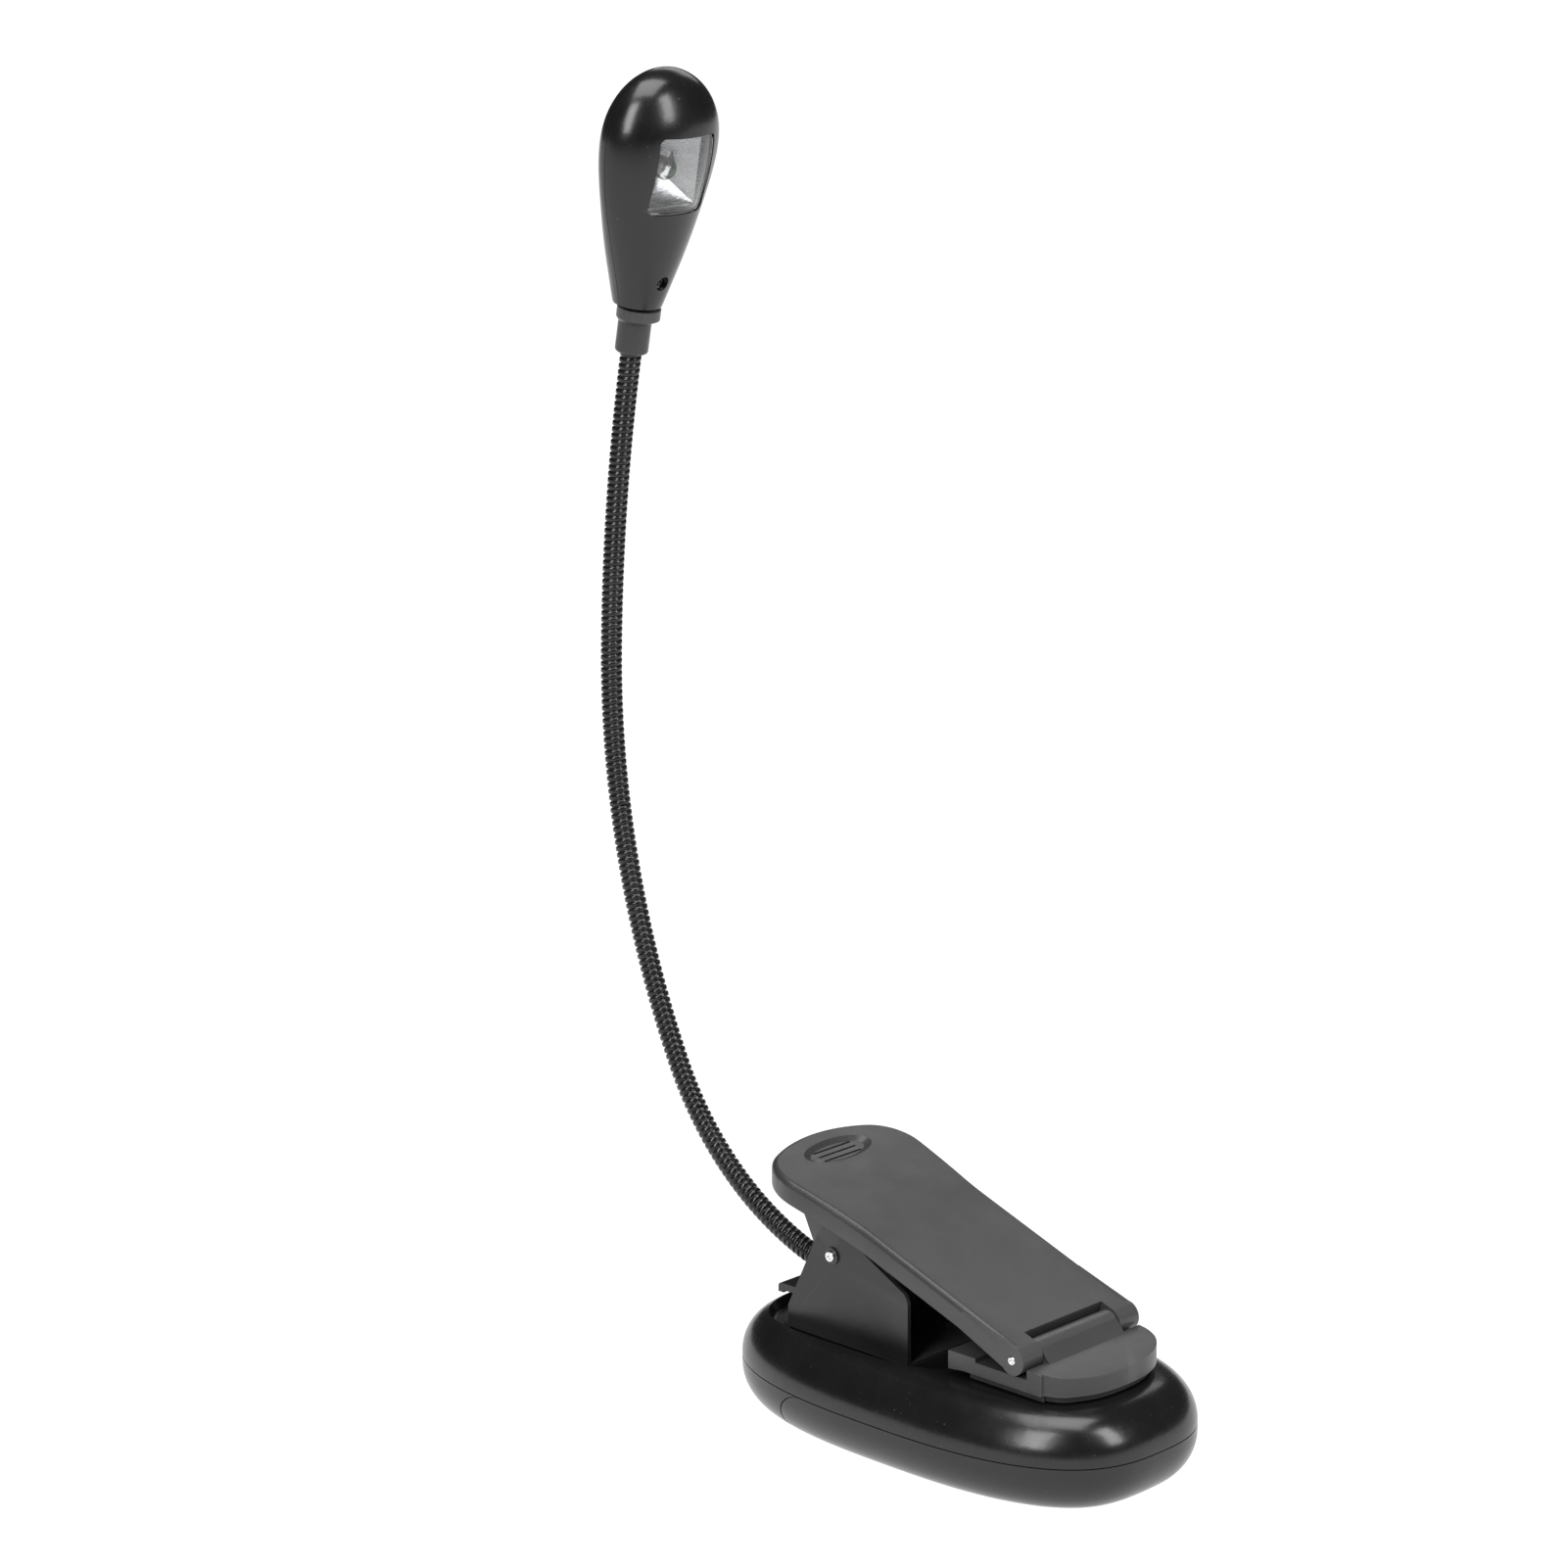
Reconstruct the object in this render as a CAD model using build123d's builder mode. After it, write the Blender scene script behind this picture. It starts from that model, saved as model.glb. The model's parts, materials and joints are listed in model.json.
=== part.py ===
"""Clip-on reading lamp: battery base, sprung clip, flexible neck and teardrop head.

Frame, in millimetres: origin at the centre of the base's flat underside, +Z up, Y along the base.
The clip jaw points to -Y, the neck leaves towards +Y, and every clip pin lies along X.
"""
from build123d import *
import os
from math import asin, cos, pi, radians, sin, sqrt, tan

os.makedirs("parts", exist_ok=True)

# ---- Base: a pebble with an oval plan and rounded top and bottom edges
BASE_HALF_LENGTH = 56.6
BASE_HALF_WIDTH = 32.1
OVAL_POWER = 2.7
BASE_TOP = 23.2
TOP_ROUND = 10.3
BOTTOM_ROUND = 10.6
WALL = 1.8
PARTING = 12.4
SEAM_GAP = 0.25

# ---- Battery cover: the front part of the lower shell, with a rounded upper rear corner
COVER_END = 29.5
COVER_CORNER = 8.0
COVER_GAP = 0.2

# ---- Recess in the top shell, where the clip bracket stands
RECESS_FLOOR = 19.8
RECESS_CENTRE = 18.0
RECESS_HALF_LENGTH = 31.5
RECESS_HALF_WIDTH = 21.0
RECESS_LEAN = 1.6

# ---- Battery cells (AAA) and their tray
CELL_RADIUS = 5.2
CELL_LENGTH = 44.0
CELL_PITCH = 11.3
CELL_FRONT = -42.6
CELL_HEIGHT = 8.5

# ---- Clip
PIN_Y = 25.6
PIN_Z = 40.6
PIN_RADIUS = 1.25
EAR_OUTER = 16.0
SHEET = 1.0
FRONT_PIN_Y = -30.6
FRONT_PIN_Z = 31.6
FRONT_PIN_RADIUS = 1.0
RUNNING = 0.06
LEVER_HALF_WIDTH = 19.2
LEVER_SKIRT = 5.0
LEVER_PLATE = 2.0
LEVER_WALL = 1.6
FORK_HALF_WIDTH = 12.8
JAW_HALF_WIDTH = 18.6
JAW_BOTTOM = 25.2
JAW_FRONT = -47.0
JAW_REAR = -11.6
SOLE = 1.6

# ---- Neck: three tangent arcs in the plane x = 0, as (radius, turn in degrees, segments)
NECK_RADIUS = 2.45
NECK_BORE = 1.3
NECK_START = (34.5, 28.8)
NECK_START_ANGLE = 6.4
NECK_ARCS = [(70.2, 57.6, 3), (202.0, 28.0, 4), (441.0, 8.9, 3)]
BALL_CLEARANCE = 0.08

# ---- Head: a teardrop along the neck's last direction
HEAD_OFFSET = 10.9
HEAD_START = 2.5
HEAD_LENGTH = 56.8
HEAD_WIDEST = 40.8
HEAD_NECK_RADIUS = 5.1
HEAD_HALF_WIDTH = 15.7
HEAD_FRONT_RATIO = 0.71
HEAD_REAR_RATIO = 0.54
HEAD_BLEND = 30.0
HEAD_WALL = 1.5
SLEEVE_RADIUS = 3.8
WINDOW_HALF_WIDTH = 8.35
WINDOW_LOW = 25.8
WINDOW_HIGH = 43.8
LED_RADIUS = 2.5


def finish(part, name):
    """Label a finished piece and write it to its own file."""
    part.label = name
    export_step(part, "parts/" + name + ".step")


def oval(half_x, half_y, power=OVAL_POWER, count=40):
    """Points round a superellipse."""
    points = []
    for i in range(count):
        c = cos(2 * pi * i / count)
        s = sin(2 * pi * i / count)
        x = half_x * abs(c) ** (2 / power) * (1 if c >= 0 else -1)
        y = half_y * abs(s) ** (2 / power) * (1 if s >= 0 else -1)
        points.append((x, y))
    return points


def pebble(inset):
    """The base's outer form, moved inward all round by inset."""
    with BuildPart() as form:
        with BuildSketch(Plane.XY.offset(inset)):
            with BuildLine():
                Spline(*oval(BASE_HALF_WIDTH - inset, BASE_HALF_LENGTH - inset), periodic=True)
            make_face()
        extrude(amount=BASE_TOP - 2 * inset)
        fillet(form.edges().group_by(Axis.Z)[-1], TOP_ROUND - inset)
        fillet(form.edges().group_by(Axis.Z)[0], BOTTOM_ROUND - inset)
    return form.part


def recess(grow):
    """The recess above the bracket's floor, made larger all round by grow."""
    lower = RECESS_FLOOR - grow
    upper = BASE_TOP + 1
    with BuildPart() as form:
        for height, spread in ((lower, 0.0), (upper, RECESS_LEAN)):
            with BuildSketch(Plane((0, RECESS_CENTRE, height))):
                with BuildLine():
                    half_x = RECESS_HALF_WIDTH + grow + spread
                    half_y = RECESS_HALF_LENGTH + grow + spread
                    Spline(*oval(half_x, half_y, 3.0), periodic=True)
                make_face()
        loft(ruled=True)
    return form.part


def band(low, high):
    """A slab across the whole base between two heights."""
    with BuildPart() as form:
        with BuildSketch(Plane.XY.offset(low)):
            Rectangle(4 * BASE_HALF_WIDTH, 4 * BASE_HALF_LENGTH)
        extrude(amount=high - low)
    return form.part


def cover_region(gap):
    """The space that the battery cover takes, drawn back from its seam by gap."""
    reach = 2 * BASE_HALF_LENGTH
    end = COVER_END - gap
    top = PARTING - SEAM_GAP
    with BuildPart() as form:
        with BuildSketch(Plane.YZ.offset(-reach)):
            with BuildLine():
                Polyline((end - COVER_CORNER, top), (-reach, top), (-reach, -1), (end, -1), (end, top - COVER_CORNER))
                CenterArc((end - COVER_CORNER, top - COVER_CORNER), COVER_CORNER, 0, 90)
            make_face()
        extrude(amount=2 * reach)
    return form.part


def screws(places, head_z, shank, head_radius, shank_radius):
    """A set of vertical screws, heads down when shank is positive and up when it is negative."""
    side = 1 if shank > 0 else -1
    head_height = 1.4
    with BuildPart() as form:
        with BuildSketch(Plane.XY.offset(head_z)):
            with Locations(*places):
                Circle(head_radius)
        extrude(amount=side * head_height)
        with BuildSketch(Plane.XY.offset(head_z + side * head_height)):
            with Locations(*places):
                Circle(shank_radius)
        extrude(amount=shank - side * head_height)
        with BuildSketch(Plane.XY.offset(head_z)):
            with Locations(*places):
                Rectangle(1.4 * head_radius, 0.5)
                Rectangle(0.5, 1.4 * head_radius)
        extrude(amount=side * 0.6, mode=Mode.SUBTRACT)
    return form.part


# ================================================================ base shells

SHELL_POSTS = [(-11, 37), (11, 37)]
TRAY_POSTS = [(-8, 8.6), (8, 8.6)]
BRACKET_POSTS = [(-11, 15), (11, 15), (-11, 33), (11, 33)]
POST_RADIUS = 2.8
THREAD_RADIUS = 1.05
KEY_STEM = (6.0, 4.0)
KEY_Y = 44.2
WIRE_HOLE_Y = 24.0
WIRE_HOLE_RADIUS = 1.7
TRAY_TOP = 15.4
RECESS_UNDER = RECESS_FLOOR - WALL

with BuildPart() as base_top_shell:
    add(pebble(0))
    add(band(-1, PARTING), mode=Mode.SUBTRACT)
    add(pebble(WALL) - recess(WALL), mode=Mode.SUBTRACT)
    add(recess(0), mode=Mode.SUBTRACT)
    for places, low in ((SHELL_POSTS, PARTING - 4), (TRAY_POSTS, TRAY_TOP), (BRACKET_POSTS, PARTING + 1)):
        with BuildSketch(Plane.XY.offset(low)):
            with Locations(*places):
                Circle(POST_RADIUS)
        extrude(amount=RECESS_UNDER - low + 0.1)
        with BuildSketch(Plane.XY.offset(low)):
            with Locations(*places):
                Circle(THREAD_RADIUS + 0.02)
        extrude(amount=RECESS_FLOOR - low - (0 if places is BRACKET_POSTS else 1), mode=Mode.SUBTRACT)
    with BuildSketch(Plane.XY.offset(RECESS_UNDER - 1)):
        with Locations((0, KEY_Y)):
            Rectangle(KEY_STEM[0] + 0.6, KEY_STEM[1] + 0.6)
        with Locations((0, WIRE_HOLE_Y)):
            Circle(WIRE_HOLE_RADIUS)
    extrude(amount=WALL + 2, mode=Mode.SUBTRACT)
finish(base_top_shell.part, "base_top_shell")

BOARD_Z = 8.0
BOARD_THICK = 1.2
BOARD_POSTS = [(-4.5, 34.5), (4.5, 34.5)]

with BuildPart() as base_rear_shell:
    add(pebble(0))
    add(pebble(WALL), mode=Mode.SUBTRACT)
    add(band(PARTING - SEAM_GAP, BASE_TOP + 1), mode=Mode.SUBTRACT)
    add(cover_region(-COVER_GAP), mode=Mode.SUBTRACT)
    with BuildSketch(Plane.XY.offset(WALL - 0.1)):
        with Locations(*SHELL_POSTS):
            Circle(POST_RADIUS)
    extrude(amount=PARTING - 4 - WALL + 0.1 - 0.1)
    with BuildSketch(Plane.XY.offset(WALL - 0.1)):
        with Locations(*BOARD_POSTS):
            Circle(2.0)
    extrude(amount=BOARD_Z - WALL + 0.1)
    with BuildSketch(Plane.XY):
        with Locations(*SHELL_POSTS):
            Circle(2.4)
    extrude(amount=2.2, mode=Mode.SUBTRACT)
    with BuildSketch(Plane.XY):
        with Locations(*SHELL_POSTS):
            Circle(THREAD_RADIUS + 0.2)
    extrude(amount=PARTING, mode=Mode.SUBTRACT)
    with BuildSketch(Plane.XY.offset(WALL + 1)):
        with Locations(*BOARD_POSTS):
            Circle(0.9)
    extrude(amount=PARTING, mode=Mode.SUBTRACT)
finish(base_rear_shell.part, "base_rear_shell")

GRIP_GROOVES = 5

with BuildPart() as battery_cover:
    add(pebble(0))
    add(pebble(WALL), mode=Mode.SUBTRACT)
    add(cover_region(COVER_GAP), mode=Mode.INTERSECT)
    with BuildSketch(Plane.XY):
        with Locations(*[(0, 14 + 2.2 * i) for i in range(GRIP_GROOVES)]):
            SlotOverall(20, 1.0)
    extrude(amount=0.5, mode=Mode.SUBTRACT)
finish(battery_cover.part, "battery_cover")

# ================================================================ batteries

CELL_X = [-CELL_PITCH, 0, CELL_PITCH]
CELL_END = CELL_FRONT + CELL_LENGTH
SPRING_ROOM = 2.6
PLATE_THICK = 0.4
TRAY_FRONT = CELL_FRONT - SPRING_ROOM - PLATE_THICK - 1.6
TRAY_END = CELL_END + 1.0 + PLATE_THICK + 1.6
TRAY_HALF_WIDTH = 17.6
FLANGE_END = 11.5


def across(y):
    """A plane facing +Y at the given y, with local x along X and local y downwards."""
    return Plane(origin=(0, y, 0), x_dir=(1, 0, 0), z_dir=(0, 1, 0))


with BuildPart() as battery_tray:
    with BuildSketch(Plane.XY.offset(CELL_HEIGHT)):
        with Locations((0, (TRAY_FRONT + TRAY_END) / 2)):
            Rectangle(2 * TRAY_HALF_WIDTH, TRAY_END - TRAY_FRONT)
    extrude(amount=TRAY_TOP - CELL_HEIGHT)
    with BuildSketch(across(CELL_FRONT - SPRING_ROOM - PLATE_THICK)):
        with Locations(*[(x, -CELL_HEIGHT) for x in CELL_X]):
            Circle(CELL_RADIUS + 0.25)
    extrude(amount=CELL_LENGTH + SPRING_ROOM + 1.0 + 2 * PLATE_THICK, mode=Mode.SUBTRACT)
    with BuildSketch(Plane.XY.offset(TRAY_TOP - 1.5)):
        with Locations((0, (TRAY_END + FLANGE_END) / 2 - 0.5)):
            Rectangle(24, FLANGE_END - TRAY_END + 1)
    extrude(amount=1.4)
    with BuildSketch(Plane.XY.offset(TRAY_TOP - 1.5)):
        with Locations(*TRAY_POSTS):
            Circle(THREAD_RADIUS + 0.2)
    extrude(amount=3, mode=Mode.SUBTRACT)
finish(battery_tray.part, "battery_tray")

for number, x in enumerate(CELL_X, start=1):
    flip = number == 2
    with BuildPart() as battery_cell:
        with BuildSketch(across(CELL_FRONT + (0.8 if flip else 0))):
            with Locations((x, -CELL_HEIGHT)):
                Circle(CELL_RADIUS)
        extrude(amount=CELL_LENGTH - 0.8)
        fillet(battery_cell.edges(), 0.4)
        with BuildSketch(across(CELL_FRONT if flip else CELL_END - 1.0)):
            with Locations((x, -CELL_HEIGHT)):
                Circle(1.9)
        extrude(amount=1.0)
    finish(battery_cell.part, "battery_cell_" + str(number))

SPRING_TURNS = 3
SPRING_WIRE = 0.25

with BuildPart() as contact_springs:
    for x in CELL_X:
        with BuildLine() as coil:
            Helix(
                pitch=(SPRING_ROOM - 0.7) / SPRING_TURNS,
                height=SPRING_ROOM - 0.7,
                radius=2.4,
                center=(x, CELL_FRONT - SPRING_ROOM + 0.35, CELL_HEIGHT),
                direction=(0, 1, 0),
            )
        with BuildSketch(Plane(origin=coil.line @ 0, z_dir=coil.line % 0)):
            Circle(SPRING_WIRE)
        sweep(path=coil.line)
finish(contact_springs.part, "contact_springs")

with BuildPart() as contact_plates:
    for y in (CELL_FRONT - SPRING_ROOM - PLATE_THICK + 0.02, CELL_END + 1.0 - 0.02):
        with BuildSketch(across(y)):
            with Locations(*[(x, -CELL_HEIGHT - 0.4) for x in CELL_X]):
                Rectangle(6.4, 6.4)
        extrude(amount=PLATE_THICK)
finish(contact_plates.part, "contact_plates")

# ================================================================ electronics

SWITCH_TOP = 15.6
BOARD_FRONT = 31.8
BOARD_END = 48.2

with BuildPart() as circuit_board:
    with BuildSketch(Plane.XY.offset(BOARD_Z)):
        with Locations((0, (BOARD_FRONT + BOARD_END) / 2)):
            RectangleRounded(14, BOARD_END - BOARD_FRONT, 1.0)
        with Locations(*BOARD_POSTS):
            Circle(0.95, mode=Mode.SUBTRACT)
    extrude(amount=BOARD_THICK)
finish(circuit_board.part, "circuit_board")

with BuildPart() as switch_body:
    with BuildSketch(Plane.XY.offset(BOARD_Z + BOARD_THICK)):
        with Locations((0, KEY_Y)):
            RectangleRounded(7.0, 6.6, 0.5)
    extrude(amount=SWITCH_TOP - BOARD_Z - BOARD_THICK)
    with BuildSketch(Plane.XY.offset(SWITCH_TOP - 3.4)):
        with Locations((0, KEY_Y)):
            Circle(1.3)
    extrude(amount=4, mode=Mode.SUBTRACT)
finish(switch_body.part, "switch_body")

with BuildPart() as series_resistor:
    with BuildSketch(Plane(origin=(-3.0, 39.0, BOARD_Z + BOARD_THICK + 1.0), x_dir=(0, 1, 0), z_dir=(1, 0, 0))):
        Circle(0.9)
    extrude(amount=6.0)
    fillet(series_resistor.edges(), 0.35)
finish(series_resistor.part, "series_resistor")

finish(screws(BOARD_POSTS, BOARD_Z + BOARD_THICK + 1.4, -6.0, 1.7, 0.85), "board_screws")
finish(screws(SHELL_POSTS, 0.7, 13.5, 2.1, THREAD_RADIUS), "shell_screws")
finish(screws(TRAY_POSTS, TRAY_TOP - 2.9, 4.6, 2.1, THREAD_RADIUS), "tray_screws")

KEY_TOP = 27.0
KEY_PLATE = 1.6
KEY_HALF_WIDTH = 10.0
KEY_FRONT = 42.1
KEY_REAR = 48.3
KEY_LIP = 24.8

with BuildPart() as power_button:
    with BuildSketch(Plane.YZ.offset(-KEY_HALF_WIDTH)):
        with BuildLine():
            Polyline(
                (KEY_FRONT, KEY_TOP),
                (KEY_FRONT, KEY_TOP - KEY_PLATE),
                (KEY_REAR - KEY_PLATE, KEY_TOP - KEY_PLATE),
                (KEY_REAR - KEY_PLATE, KEY_LIP),
                (KEY_REAR, KEY_LIP),
                (KEY_REAR, KEY_TOP),
                close=True,
            )
        make_face()
    extrude(amount=2 * KEY_HALF_WIDTH)
    fillet(power_button.edges().filter_by(Axis.X).sort_by(lambda e: e.center().Y + e.center().Z)[-1], 0.9)
    with BuildSketch(Plane.XY.offset(SWITCH_TOP + 1.4)):
        with Locations((0, KEY_Y)):
            Rectangle(*KEY_STEM)
    extrude(amount=KEY_TOP - KEY_PLATE - SWITCH_TOP - 1.4 + 0.1)
    with BuildSketch(Plane.XY.offset(SWITCH_TOP - 1.8)):
        with Locations((0, KEY_Y)):
            Circle(1.2)
    extrude(amount=3.3)
finish(power_button.part, "power_button")

# ================================================================ clip bracket and pins

EAR_REAR = 39.4
EAR_FRONT = 2.8
FOOT_TOP = RECESS_FLOOR + SHEET
RING_RADIUS = 1.95
RING_HEIGHT = 0.45

with BuildPart() as clip_bracket:
    with BuildSketch(Plane.YZ.offset(-EAR_OUTER)) as ear:
        with BuildLine():
            Polyline(
                (EAR_FRONT, RECESS_FLOOR + 0.05),
                (EAR_REAR, RECESS_FLOOR + 0.05),
                (EAR_REAR, 25.5),
                (27.8, 49.5),
                (EAR_FRONT, 36.5),
                close=True,
            )
        make_face()
        fillet(ear.vertices().sort_by(Axis.Y)[-1], 5.8)
        fillet([v for v in ear.vertices() if abs(v.X - EAR_FRONT) < 0.1 and v.Y > 30], 3.5)
    extrude(amount=2 * EAR_OUTER)
    with BuildSketch(Plane.YZ.offset(-EAR_OUTER + SHEET)):
        with Locations((20, FOOT_TOP + 0.05 + 20)):
            Rectangle(60, 40)
    extrude(amount=2 * (EAR_OUTER - SHEET), mode=Mode.SUBTRACT)
    for side in (-1, 1):
        with BuildSketch(Plane.YZ.offset(side * EAR_OUTER)):
            with Locations((PIN_Y, PIN_Z)):
                Circle(RING_RADIUS)
        extrude(amount=side * RING_HEIGHT)
    with BuildSketch(Plane.YZ.offset(-EAR_OUTER - 1)):
        with Locations((PIN_Y, PIN_Z)):
            Circle(PIN_RADIUS + 0.02)
    extrude(amount=2 * EAR_OUTER + 2, mode=Mode.SUBTRACT)
    with BuildSketch(Plane.XY.offset(RECESS_FLOOR)):
        with Locations(*BRACKET_POSTS):
            Circle(THREAD_RADIUS + 0.2)
        with Locations((0, WIRE_HOLE_Y)):
            Circle(WIRE_HOLE_RADIUS)
    extrude(amount=2, mode=Mode.SUBTRACT)
    fillet(clip_bracket.edges().filter_by(Axis.Y).group_by(Axis.Z)[0], 0.9)
finish(clip_bracket.part, "clip_bracket")

finish(screws(BRACKET_POSTS, FOOT_TOP + 0.1 + 1.4, -6.5, 2.1, THREAD_RADIUS), "bracket_screws")


def cross_pin(y, z, radius, half_length, head_radius, head_height):
    """A pin along X with a low round head at each end and a dimple in each head."""
    with BuildPart() as form:
        with BuildSketch(Plane.YZ.offset(-half_length)):
            with Locations((y, z)):
                Circle(radius)
        extrude(amount=2 * half_length)
        for side in (-1, 1):
            with BuildSketch(Plane.YZ.offset(side * half_length)):
                with Locations((y, z)):
                    Circle(head_radius)
            extrude(amount=side * head_height)
            with BuildSketch(Plane.YZ.offset(side * (half_length + head_height))):
                with Locations((y, z)):
                    Circle(0.45 * head_radius)
            extrude(amount=-side * 0.3, mode=Mode.SUBTRACT)
        ends = form.faces().sort_by(Axis.X)
        fillet(ends[0].outer_wire().edges() + ends[-1].outer_wire().edges(), 0.25)
    return form.part


finish(cross_pin(PIN_Y, PIN_Z, PIN_RADIUS, EAR_OUTER, PIN_RADIUS, 1.1), "main_pin")
finish(
    cross_pin(FRONT_PIN_Y, FRONT_PIN_Z, FRONT_PIN_RADIUS, LEVER_HALF_WIDTH - 0.2, FRONT_PIN_RADIUS, 0.5),
    "front_pin",
)

COIL_RADIUS = 3.6
COIL_WIRE = 0.6
COIL_HALF = 6.4
COIL_TURNS = 8.22
UPPER_ARM = 16.2
LOWER_ARM = 20.0
SPRING_LEAN = 45.0

with BuildPart() as spring_form:
    with BuildLine() as wire:
        turns = Helix(
            pitch=2 * COIL_HALF / COIL_TURNS,
            height=2 * COIL_HALF,
            radius=COIL_RADIUS,
            center=(-COIL_HALF, PIN_Y, PIN_Z),
            direction=(1, 0, 0),
        )
        Line(turns @ 0 - (turns % 0) * UPPER_ARM, turns @ 0)
        Line(turns @ 1, turns @ 1 + (turns % 1) * LOWER_ARM)
    with BuildSketch(Plane(origin=turns @ 0 - (turns % 0) * UPPER_ARM, z_dir=turns % 0)):
        Circle(COIL_WIRE)
    sweep(path=wire.wires()[0])

with BuildPart() as torsion_spring:
    add(spring_form.part.rotate(Axis((0, PIN_Y, PIN_Z), (1, 0, 0)), SPRING_LEAN))
finish(torsion_spring.part, "torsion_spring")

# ================================================================ clip lever

LEVER_SLOPE = 19.4
LEVER_BEND = (16.0, 51.5)
LEVER_BEND_RADIUS = 310.0
LEVER_BEND_TURN = 6.5
LEVER_REACH = 50.56
NOSE_RADIUS = 3.29
SLOT_REACH = 47.1
FLARE_FRONT = 15.0
FLARE_REAR = 40.5
FLARE_HALF_WIDTH = 21.9
LEVER_REAR = 47.5


def lever_point(along, depth):
    """A point (y, z) on the lever's side view, measured from the bend along its top, and below its top."""
    slope = radians(LEVER_SLOPE)
    y, z = LEVER_BEND
    if along <= 0:
        return (y + along * cos(slope) + depth * sin(slope), z + along * sin(slope) - depth * cos(slope))
    turn = along / LEVER_BEND_RADIUS
    centre_y = y + LEVER_BEND_RADIUS * sin(slope)
    centre_z = z - LEVER_BEND_RADIUS * cos(slope)
    radius = LEVER_BEND_RADIUS - depth
    return (centre_y - radius * sin(slope - turn), centre_z + radius * cos(slope - turn))


def lever_form(top_depth, low_depth, inset, reach=LEVER_REACH):
    """The lever between two depths below its top surface, with its plan outline drawn in by inset."""
    tail = LEVER_BEND_RADIUS * radians(LEVER_BEND_TURN)
    wide = LEVER_HALF_WIDTH
    with BuildPart() as form:
        with BuildSketch(Plane.YZ.offset(-30)):
            with BuildLine():
                Line(lever_point(-reach, top_depth), lever_point(0, top_depth))
                ThreePointArc(*[lever_point(tail * k / 2, top_depth) for k in (0, 1, 2)])
                Line(lever_point(tail, top_depth), lever_point(tail, low_depth))
                ThreePointArc(*[lever_point(tail * k / 2, low_depth) for k in (2, 1, 0)])
                Line(lever_point(0, low_depth), lever_point(-reach, low_depth))
                Line(lever_point(-reach, low_depth), lever_point(-reach, top_depth))
            make_face()
        extrude(amount=60)
        with BuildSketch(Plane.XY.offset(20)) as plan:
            with BuildLine():
                Polyline(
                    (-FLARE_HALF_WIDTH, FLARE_REAR),
                    (-wide, FLARE_FRONT),
                    (-wide, -40),
                    (wide, -40),
                    (wide, FLARE_FRONT),
                    (FLARE_HALF_WIDTH, FLARE_REAR),
                )
                ThreePointArc((FLARE_HALF_WIDTH, FLARE_REAR), (0, LEVER_REAR), (-FLARE_HALF_WIDTH, FLARE_REAR))
            make_face()
            fillet(plan.vertices().group_by(Axis.Y)[-1], 11)
            fillet([v for v in plan.vertices() if abs(v.Y - FLARE_FRONT) < 0.1], 60)
            if inset:
                offset(amount=-inset)
        extrude(amount=50, mode=Mode.INTERSECT)
    return form.part


WEB_OUTER = 14.5
WEB_THICK = 1.8
DIMPLE_ALONG = 24.0
DIMPLE_DEPTH = 0.8
GRIP_LINES = 3
GRIP_PITCH = 2.0


def lever_face(along, depth):
    """A plane on the lever's top, sunk by depth, with local y towards the rear."""
    y, z = lever_point(along, depth)
    slope = radians(LEVER_SLOPE) - along / LEVER_BEND_RADIUS
    return Plane(origin=(0, y, z), x_dir=(1, 0, 0), z_dir=(0, -sin(slope), cos(slope)))



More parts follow.
